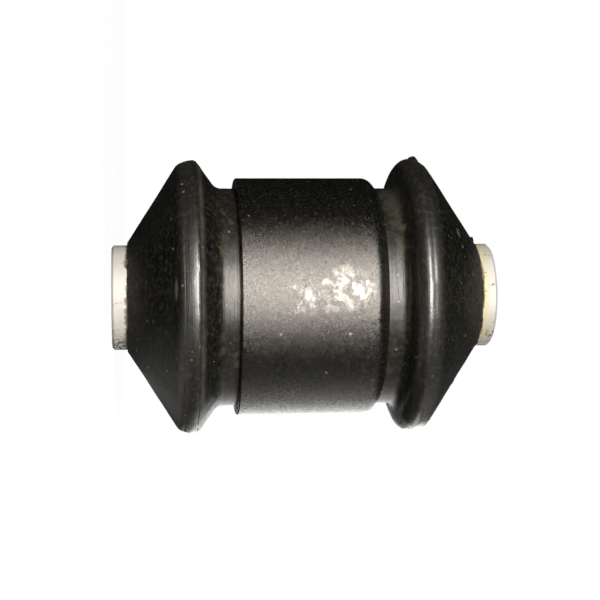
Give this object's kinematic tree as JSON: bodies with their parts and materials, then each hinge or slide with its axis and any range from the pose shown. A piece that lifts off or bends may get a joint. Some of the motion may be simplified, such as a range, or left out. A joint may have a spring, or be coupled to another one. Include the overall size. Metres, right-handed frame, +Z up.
{
  "type": "pivot arm bushing",
  "caption": "Pivot arm bushing with a steel bolt sleeve and a black outer sleeve bonded into a moulded rubber body that flares to a conical lip at each end.",
  "frame": {"origin": "centre of the inner sleeve's lower end face, on the surface that the part stands on", "axes": "+Z up along the bolt axis, towards the rolled-in end of the outer sleeve; the part is round about Z, so +X and +Y are free"},
  "size_m": [0.049, 0.049, 0.0678],
  "materials": {
    "plated_steel": "satin",
    "rubber": "matt",
    "black_steel": "semi-gloss"
  },
  "bodies": {
    "root": {"inner_sleeve": "plated_steel", "rubber_body": "rubber", "outer_sleeve": "black_steel"}
  },
  "joints": []
}
